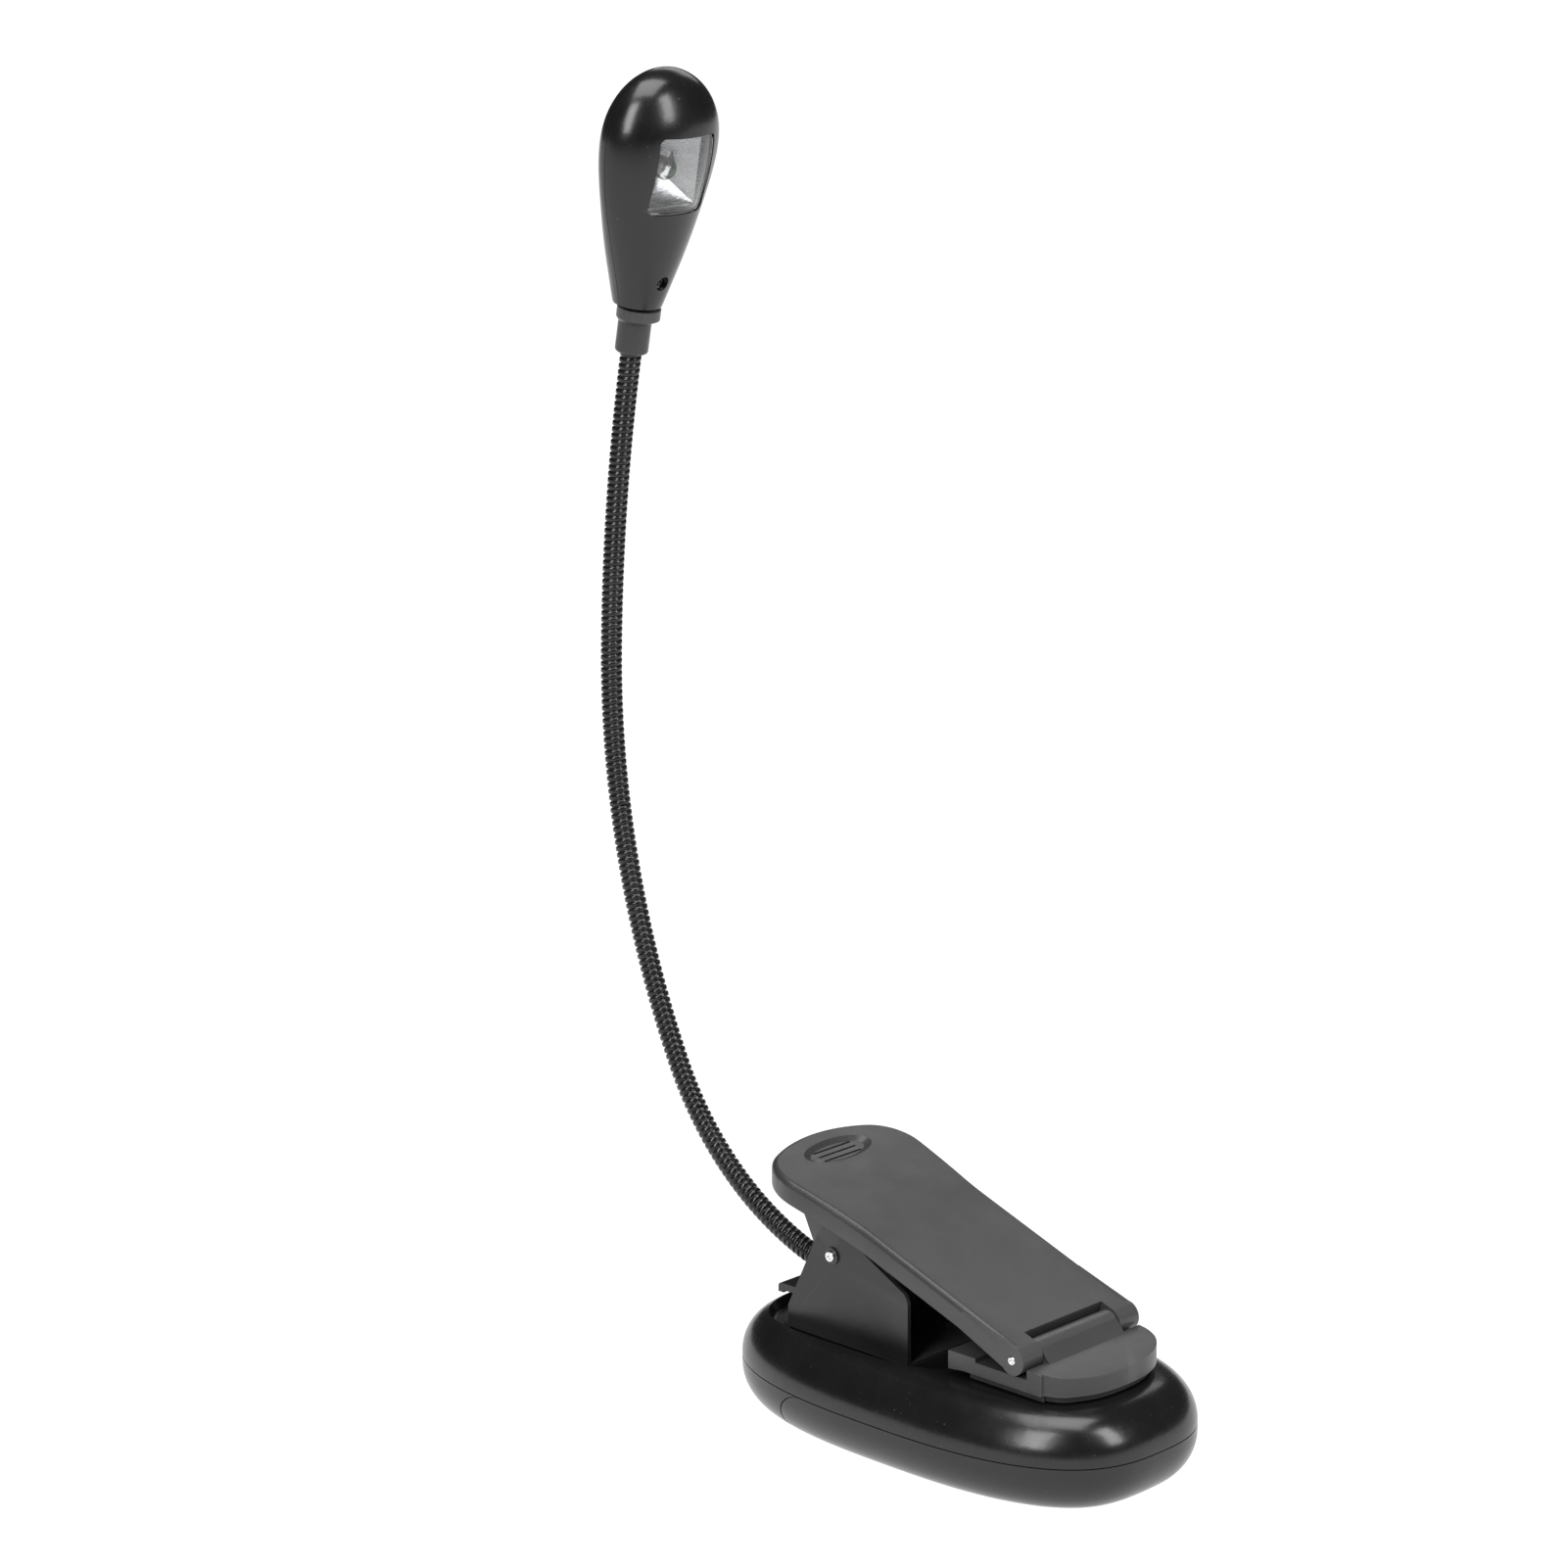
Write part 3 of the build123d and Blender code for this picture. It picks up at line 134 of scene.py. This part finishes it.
def edges(tree, low=0.52, high=0.62):
    """1 on sharp outer edges, which are lightened partly for scuffing and partly as a painted highlight,
    and 0 elsewhere.
    """
    geometry = tree.nodes.new("ShaderNodeNewGeometry")
    return span(tree, geometry.outputs["Pointiness"], low, high, 0.0, 1.0)


# texture scales are in cycles per metre, and bump depths in metres
CLOUD_SCALE = 45.0
DUST_SCALE = 1500.0
DUST_COLOR = (0.16, 0.16, 0.155)
# outer edges lighten towards this colour: partly scuffing, partly a painted highlight along edges and rib
# crests
WEAR_HIGHLIGHT_GAIN = 3.0
WEAR_HIGHLIGHT_LIFT = 0.02
SMEAR_SCALE = 130.0
HAIR_SCALE = (2200.0, 90.0, 240.0)
HAIR_ROUGHNESS = 0.025
WAVE_SCALE = 70.0
WAVE_DEPTH = 0.0003
GRAIN_DEPTH = 0.00006
STAIN_SCALE = 380.0
BRUSH_ACROSS = 5200.0
BRUSH_ALONG = 260.0
BRUSH_DEPTH = 0.00004
PRINT_SCALE = 220.0
PRINT_SHADE = 0.93
FLOW_SCALE = 120.0
FLOW_DEPTH = 0.0002
PLASTIC_IOR = 1.49


def moulded(name, dark, light, rough, grain_scale, grain, wear_and_painted_highlight=0.25, coat=0.0):
    """Moulded or painted finish: clouded tone, fine grain, hairlines, specks of dust, and outer edges
    lightened partly as scuffing and partly as a painted highlight.
    """
    mat, tree, shader, coords = material(name)
    cloud = noise(tree, coords, CLOUD_SCALE, 4.0, 0.6)
    tone = blend_colors(tree, span(tree, cloud, 0.3, 0.7, 0.0, 1.0), dark, light)
    dust = noise(tree, coords, DUST_SCALE, 2.0, 0.5)
    dust_spots = span(tree, dust, 0.72, 0.78, 0.0, 0.35)
    dusty = blend_colors(tree, dust_spots, tone, DUST_COLOR)
    # lighter outer edges: partly scuffing, partly a painted highlight
    wear_highlight_mask = math_node(tree, "MULTIPLY", edges(tree), wear_and_painted_highlight)
    wear_highlight_color = tuple(min(1.0, WEAR_HIGHLIGHT_GAIN * c + WEAR_HIGHLIGHT_LIFT) for c in light)
    color = blend_colors(tree, wear_highlight_mask, dusty, wear_highlight_color)
    tree.links.new(color, shader.inputs["Base Color"])
    smear = noise(tree, coords, SMEAR_SCALE, 5.0, 0.65, 0.4)
    hairs = noise(tree, stretched(tree, coords, HAIR_SCALE), 1.0, 2.0, 0.5)
    base_rough = span(tree, smear, 0.25, 0.75, rough - 0.045, rough + 0.06)
    marks = span(tree, hairs, 0.62, 0.75, 0.0, HAIR_ROUGHNESS)
    tree.links.new(math_node(tree, "ADD", base_rough, marks), shader.inputs["Roughness"])
    shader.inputs["Coat Weight"].default_value = coat
    shader.inputs["Coat Roughness"].default_value = 0.08
    bump(tree, shader, noise(tree, coords, grain_scale, 3.0, 0.6), grain, GRAIN_DEPTH)
    bump(tree, shader, noise(tree, coords, WAVE_SCALE, 2.0, 0.5), 0.05, WAVE_DEPTH)
    return mat


def metal(name, dark, light, rough, brush, brush_axis=0):
    """Bright metal with a brushed or turned grain, small stains and a little tarnish."""
    mat, tree, shader, coords = material(name)
    stains = noise(tree, coords, STAIN_SCALE, 4.0, 0.6)
    color = blend_colors(tree, span(tree, stains, 0.3, 0.7, 0.0, 1.0), dark, light)
    tree.links.new(color, shader.inputs["Base Color"])
    shader.inputs["Metallic"].default_value = 1.0
    scale = [BRUSH_ACROSS] * 3
    scale[brush_axis] = BRUSH_ALONG
    grain = noise(tree, stretched(tree, coords, tuple(scale)), 1.0, 2.0, 0.5)
    tree.links.new(span(tree, grain, 0.2, 0.8, rough - 0.05, rough + 0.1), shader.inputs["Roughness"])
    bump(tree, shader, grain, brush, BRUSH_DEPTH)
    return mat


def clear(name, tint, rough, waves):
    """Clear moulded plastic with faint flow waves and fingerprint smears."""
    mat, tree, shader, coords = material(name)
    smear = noise(tree, coords, PRINT_SCALE, 4.0, 0.6, 0.5)
    shade = tuple(PRINT_SHADE * c for c in tint)
    color = blend_colors(tree, span(tree, smear, 0.3, 0.7, 0.0, 1.0), shade, tint)
    tree.links.new(color, shader.inputs["Base Color"])
    tree.links.new(span(tree, smear, 0.35, 0.75, rough, rough + 0.08), shader.inputs["Roughness"])
    shader.inputs["Transmission Weight"].default_value = 1.0
    shader.inputs["IOR"].default_value = PLASTIC_IOR
    bump(tree, shader, noise(tree, coords, FLOW_SCALE, 2.0, 0.5), waves, FLOW_DEPTH)
    return mat


# ---------------------------------------------------------------- materials

SHELL = moulded(
    "shell_black", (0.005, 0.005, 0.0055), (0.009, 0.009, 0.0095), 0.24, 2600.0, 0.12, wear_and_painted_highlight=0.12, coat=0.1
)
SATIN = moulded(
    "clip_black", (0.030, 0.030, 0.031), (0.040, 0.040, 0.041), 0.34, 4200.0, 0.35, wear_and_painted_highlight=0.25
)
SHEET = moulded(
    "ear_black", (0.014, 0.014, 0.015), (0.021, 0.021, 0.022), 0.33, 2100.0, 0.4, wear_and_painted_highlight=0.4
)
# the neck's rib crests get the most edge lightening: partly scuffing, partly a painted highlight on the
# ribs
NECK = moulded(
    "neck_black", (0.006, 0.006, 0.006), (0.011, 0.011, 0.011), 0.22, 3000.0, 0.2, wear_and_painted_highlight=0.45
)
INNER = moulded("tray_plastic", (0.022, 0.022, 0.022), (0.034, 0.034, 0.034), 0.5, 1800.0, 0.5)
RUBBER = moulded("sole_rubber", (0.014, 0.014, 0.014), (0.022, 0.022, 0.022), 0.66, 1600.0, 0.8)
BOARD = moulded("board_green", (0.02, 0.13, 0.06), (0.03, 0.19, 0.09), 0.4, 900.0, 0.3)
RESISTOR = moulded("resistor_tan", (0.42, 0.30, 0.17), (0.52, 0.38, 0.22), 0.42, 1500.0, 0.3)
WIRE = moulded("wire_red", (0.30, 0.02, 0.016), (0.40, 0.035, 0.025), 0.42, 1500.0, 0.2)
PIN = metal("pin_steel", (0.72, 0.72, 0.73), (0.90, 0.90, 0.91), 0.20, 0.35)
SCREW = metal("screw_steel", (0.20, 0.20, 0.21), (0.36, 0.36, 0.37), 0.30, 0.5, 2)
SPRING = metal("spring_steel", (0.45, 0.45, 0.46), (0.62, 0.62, 0.62), 0.28, 0.4)
CAN = metal("cell_can", (0.55, 0.55, 0.57), (0.70, 0.70, 0.72), 0.30, 0.3, 1)
SILVER = metal("reflector_silver", (0.50, 0.51, 0.52), (0.64, 0.64, 0.65), 0.24, 0.12)
WINDOW = clear("window_clear", (0.97, 0.975, 0.98), 0.02, 0.12)
LED_CLEAR = clear("led_clear", (0.98, 0.98, 0.95), 0.03, 0.05)

BY_SLOT = {
    "shell_black": SHELL,
    "clip_black": SATIN,
    "ear_black": SHEET,
    "neck_black": NECK,
    "sleeve_black": SATIN,
    "tray_plastic": INNER,
    "switch_black": INNER,
    "cell_can": CAN,
    "spring_steel": SPRING,
    "pin_steel": PIN,
    "screw_steel": SCREW,
    "board_green": BOARD,
    "resistor_tan": RESISTOR,
    "wire_red": WIRE,
    "sole_rubber": RUBBER,
    "window_clear": WINDOW,
    "reflector_silver": SILVER,
    "led_clear": LED_CLEAR,
}
slot_of = {s["node"]: s["material_slot"] for s in frame["record"]["subparts"]}
for node, piece in frame["nodes"].items():
    piece.data.materials.clear()
    piece.data.materials.append(BY_SLOT[slot_of[node]])
    if hasattr(piece.data, "shade_auto_smooth"):
        piece.data.shade_auto_smooth(angle=math.radians(SMOOTH_ANGLE))

# ---------------------------------------------------------------- ribbed neck

NECK_RADIUS = 2.45
NECK_START = (34.5, 28.8)
NECK_START_ANGLE = 6.4
NECK_ARCS = [(70.2, 57.6, 3), (202.0, 28.0, 4), (441.0, 8.9, 3)]
ROOT_LENGTH = 8.0
STUB = 7.0
RIB_PITCH = 1.5
RIB_DEPTH = 0.46
RIB_PROUD = 0.04
GROOVE_HALF = 0.17
GROOVE_POWER = 0.7
CROWN = 0.16
RINGS_PER_RIB = 8
AROUND = 28
FIRST_JOINT = ROOT_LENGTH - 0.5


def arcs():
    """The neck's path as (length, radius) pieces, starting inside its socket."""
    pieces = [(FIRST_JOINT, math.inf)]
    for radius, turn, count in NECK_ARCS:
        pieces += [(radius * math.radians(turn) / count, radius)] * count
    return pieces + [(STUB, math.inf)]


def path_point(length):
    """(y, z, angle) at a length along the neck from its root."""
    angle = math.radians(NECK_START_ANGLE)
    y = NECK_START[0] - FIRST_JOINT * math.cos(angle)
    z = NECK_START[1] - FIRST_JOINT * math.sin(angle)
    for piece, radius in arcs():
        step = min(piece, length)
        turn = step / radius
        chord = step if math.isinf(radius) else 2 * radius * math.sin(turn / 2)
        y += chord * math.cos(angle + turn / 2)
        z += chord * math.sin(angle + turn / 2)
        angle += turn
        length -= step
        if length <= 0:
            break
    return y, z, angle


def rib(phase):
    """The radius at a phase along one turn of the winding: a round back and a narrow groove."""
    share = phase % 1.0
    groove = max(0.0, 1.0 - abs(share - 0.5) / GROOVE_HALF)
    crown = CROWN * (2.0 * (share if share < 0.5 else 1.0 - share)) ** 2
    return NECK_RADIUS + RIB_PROUD - crown - RIB_DEPTH * groove**GROOVE_POWER


def ribbed_tube(name, low, high):
    """A length of the wound neck between two distances along it."""
    steps = max(2, round((high - low) / RIB_PITCH * RINGS_PER_RIB))
    verts = []
    for i in range(steps + 1):
        along = low + (high - low) * i / steps
        y, z, angle = path_point(along)
        side = Vector((0.0, -math.sin(angle), math.cos(angle)))
        for j in range(AROUND):
            turn = 2 * math.pi * j / AROUND
            radius = rib(along / RIB_PITCH + j / AROUND)
            spot = Vector((radius * math.cos(turn), y, z)) + side * (radius * math.sin(turn))
            verts.append(spot * MM)
    faces = []
    for i in range(steps):
        for j in range(AROUND):
            a = i * AROUND + j
            b = i * AROUND + (j + 1) % AROUND
            faces.append((a, b, b + AROUND, a + AROUND))
    mesh = bpy.data.meshes.new(name)
    mesh.from_pydata(verts, [], faces)
    mesh.polygons.foreach_set("use_smooth", [True] * len(faces))
    mesh.materials.append(NECK)
    mesh.update()
    tube = bpy.data.objects.new(name, mesh)
    bpy.context.scene.collection.objects.link(tube)
    return tube


def centre_point(length):
    """A point on the neck's centreline, in metres."""
    y, z, _ = path_point(length)
    return (0.0, y * MM, z * MM)


joints_at = [FIRST_JOINT]
for length, _ in arcs()[1:-1]:
    joints_at.append(joints_at[-1] + length)
tip_at = joints_at.pop()
bodies = ["base"] + ["neck_%02d" % k for k in range(1, 11)]
nodes = ["neck_root"] + ["neck_segment_%02d" % k for k in range(1, 11)]
cuts = [0.0] + [(a + b) / 2 for a, b in zip(joints_at, joints_at[1:] + [tip_at])] + [tip_at + STUB]
for k in range(10):
    tube = ribbed_tube("neck_ribs_%02d" % (k + 1), cuts[k], cuts[k + 1])
    half = min(joints_at[k] - cuts[k], cuts[k + 1] - joints_at[k])
    start, end = centre_point(joints_at[k] - half), centre_point(joints_at[k] + half)
    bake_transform(tube)
    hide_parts(nodes[k])
last_tube = ribbed_tube("neck_ribs_11", cuts[10], cuts[11])
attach(last_tube, bodies[10])
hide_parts(nodes[10])

# ---------------------------------------------------------------- floor, light and camera


FLOOR_SIZE = 12.0
FLOOR_DROP = 0.0002
GLOW_TURN = 45.0
GLOW_FROM, GLOW_TO = -0.95, -0.28
WORLD_STRENGTH = 0.04
LIGHT_AIM = (0.0, 0.03, 0.12)


def plane(name, size, place, mat):
    """A square plane that belongs to the studio."""
    bpy.ops.mesh.primitive_plane_add(size=size, location=place)
    item = bpy.context.object
    item.name = name
    item.data.materials.append(mat)
    return item


floor_mat, tree, shader, coords = material("floor_white")
paper = noise(tree, coords, 6.0, 3.0, 0.5)
tree.links.new(
    blend_colors(tree, span(tree, paper, 0.3, 0.7, 0.0, 1.0), (0.09, 0.09, 0.09), (0.11, 0.11, 0.11)),
    shader.inputs["Base Color"],
)
shader.inputs["Emission Color"].default_value = (1.0, 1.0, 1.0, 1.0)
# the paper glows round and behind the lamp and fades out towards the front of the studio
turned = tree.nodes.new("ShaderNodeMapping")
turned.inputs["Rotation"].default_value = (0.0, 0.0, math.radians(GLOW_TURN))
tree.links.new(coords, turned.inputs["Vector"])
split = tree.nodes.new("ShaderNodeSeparateXYZ")
tree.links.new(turned.outputs["Vector"], split.inputs["Vector"])
glow = span(tree, split.outputs["Y"], GLOW_FROM, GLOW_TO, 0.0, 1.0)
tree.links.new(glow, shader.inputs["Emission Strength"])
shader.inputs["Roughness"].default_value = 0.85
bump(tree, shader, noise(tree, coords, 900.0, 2.0, 0.5), 0.1, 0.0001)
plane("floor", FLOOR_SIZE, (0.0, 0.0, -FLOOR_DROP), floor_mat)

world = bpy.data.worlds.new("studio")
bpy.context.scene.world = world
world.use_nodes = True
world.node_tree.nodes["Background"].inputs["Color"].default_value = (1.0, 1.0, 1.0, 1.0)
world.node_tree.nodes["Background"].inputs["Strength"].default_value = WORLD_STRENGTH


def softbox(name, azimuth, elevation, distance, wide, tall, power):
    """An area light aimed at the lamp; azimuth 0 is in front, at -Y, and 90 at +X."""
    a, e = math.radians(azimuth), math.radians(elevation)
    aim = Vector(LIGHT_AIM)
    away = Vector((math.sin(a) * math.cos(e), -math.cos(a) * math.cos(e), math.sin(e)))
    data = bpy.data.lights.new(name, "AREA")
    data.shape = "RECTANGLE"
    data.size, data.size_y, data.energy = wide, tall, power
    lamp = bpy.data.objects.new(name, data)
    bpy.context.scene.collection.objects.link(lamp)
    lamp.location = aim + away * distance
    lamp.rotation_euler = away.to_track_quat("Z", "Y").to_euler()
    return lamp


softbox("key_left", -75.0, 34.0, 1.3, 0.40, 1.05, 13.0)
softbox("key_right", 8.0, 34.0, 1.4, 0.40, 1.0, 11.0)
softbox("overhead", -60.0, 84.0, 1.3, 0.9, 0.8, 12.0)
softbox("rear_sheen", 124.0, 34.0, 1.3, 0.7, 0.45, 1.5)

CAMERA_AZIMUTH = -45.79
CAMERA_ELEVATION = 14.77
CAMERA_ROLL = -0.43
CAMERA_PLACE = (-0.7588, -0.6831, 0.4199)
CAMERA_LENS = 112.4

a, e, roll = (math.radians(x) for x in (CAMERA_AZIMUTH, CAMERA_ELEVATION, CAMERA_ROLL))
back = Vector((math.sin(a) * math.cos(e), -math.cos(a) * math.cos(e), math.sin(e)))
right = Vector((math.cos(a), math.sin(a), 0.0))
up = back.cross(right)
right, up = (
    right * math.cos(roll) + up * math.sin(roll),
    up * math.cos(roll) - right * math.sin(roll),
)
camera = bpy.data.objects.new("camera", bpy.data.cameras.new("camera"))
bpy.context.scene.collection.objects.link(camera)
turned_axes = Matrix((right, up, back)).transposed().to_4x4()
camera.matrix_world = Matrix.Translation(CAMERA_PLACE) @ turned_axes
camera.data.sensor_width = 36.0
camera.data.lens = CAMERA_LENS
camera.data.clip_start, camera.data.clip_end = 0.05, 20.0
bpy.context.scene.camera = camera
bpy.context.scene.view_settings.view_transform = "Standard"
bpy.context.scene.view_settings.exposure = 0.0
